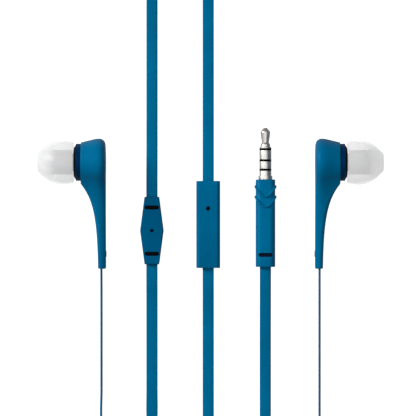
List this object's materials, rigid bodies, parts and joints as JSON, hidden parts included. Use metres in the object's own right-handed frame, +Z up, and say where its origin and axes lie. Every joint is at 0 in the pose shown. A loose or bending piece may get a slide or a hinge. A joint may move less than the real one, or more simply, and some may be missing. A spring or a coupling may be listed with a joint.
{
  "type": "wired in-ear earphones",
  "caption": "Wired in-ear earphones with a flat cable, stemmed housings, silicone tips, microphone remote, diamond splitter and 3.5 mm plug.",
  "frame": {"origin": "midway between the two earbuds, on the surface that everything lies on", "axes": "+X from the left earbud to the right one, +Y the way the plug points, +Z up from the surface"},
  "size_m": [0.1233, 0.2064, 0.0139],
  "materials": {
    "housing_blue": "moulded plastic with a satin sheen",
    "button_blue": "darker moulded plastic",
    "cable_blue": "smooth satin cable jacket",
    "black_plastic": "moulded black plastic",
    "silicone": "translucent white silicone, satin",
    "nickel": "polished nickel plate",
    "plated_steel": "plated pressed steel",
    "steel_mesh": "fine woven steel mesh",
    "magnet": "nickel-plated magnet",
    "copper_wire": "enamelled copper winding",
    "film": "thin polymer film",
    "felt": "pressed felt",
    "circuit_board": "green solder mask",
    "gold_can": "gold-plated can",
    "tie_fabric": "black hook-and-loop tape"
  },
  "bodies": {
    "earphones": {"left_rear_housing": "housing_blue", "left_front_cap": "housing_blue", "left_nozzle": "black_plastic", "left_nozzle_mesh": "steel_mesh", "left_driver_frame": "plated_steel", "left_driver_magnet": "magnet", "left_damper": "felt", "right_rear_housing": "housing_blue", "right_front_cap": "housing_blue", "right_nozzle": "black_plastic", "right_nozzle_mesh": "steel_mesh", "right_driver_frame": "plated_steel", "right_driver_magnet": "magnet", "right_damper": "felt", "remote_front_shell": "housing_blue", "remote_rear_shell": "housing_blue", "remote_board": "circuit_board", "remote_dome_switch": "plated_steel", "remote_microphone": "gold_can", "remote_mic_screen": "felt", "splitter_front_shell": "housing_blue", "splitter_rear_shell": "housing_blue", "splitter_clamp": "black_plastic", "plug_tip": "nickel", "plug_ring_1": "nickel", "plug_ring_2": "nickel", "plug_barrel": "nickel", "plug_insulator": "black_plastic", "plug_core": "button_blue", "plug_grip": "housing_blue", "plug_cable": "cable_blue", "remote_cable": "cable_blue", "link_cable": "cable_blue", "left_lead": "cable_blue", "left_lead_end": "cable_blue", "right_lead": "cable_blue", "right_lead_end": "cable_blue", "main_coil": "cable_blue", "left_coil": "cable_blue", "right_coil": "cable_blue", "coil_ties": "tie_fabric"},
    "left_tip": {"left_ear_tip": "silicone"},
    "right_tip": {"right_ear_tip": "silicone"},
    "button": {"remote_button": "button_blue"},
    "left_cone": {"left_diaphragm": "film", "left_voice_coil": "copper_wire"},
    "right_cone": {"right_diaphragm": "film", "right_voice_coil": "copper_wire"}
  },
  "joints": [
    {"name": "left_tip_pull", "type": "slide", "parent": "earphones", "child": "left_tip", "axis": [-1, 0, 0], "range_m": [0, 0.009]},
    {"name": "right_tip_pull", "type": "slide", "parent": "earphones", "child": "right_tip", "axis": [1, 0, 0], "range_m": [0, 0.009]},
    {"name": "button_press", "type": "slide", "parent": "earphones", "child": "button", "axis": [0, 0, 1], "range_m": [0, 0.0003], "stiffness_N_per_m": 2000, "deforming": ["remote_dome_switch"]},
    {"name": "left_cone_travel", "type": "slide", "parent": "earphones", "child": "left_cone", "axis": [-1, 0, 0], "range_m": [-0.00015, 0.00015], "stiffness_N_per_m": 40},
    {"name": "right_cone_travel", "type": "slide", "parent": "earphones", "child": "right_cone", "axis": [1, 0, 0], "range_m": [-0.00015, 0.00015], "stiffness_N_per_m": 40}
  ]
}
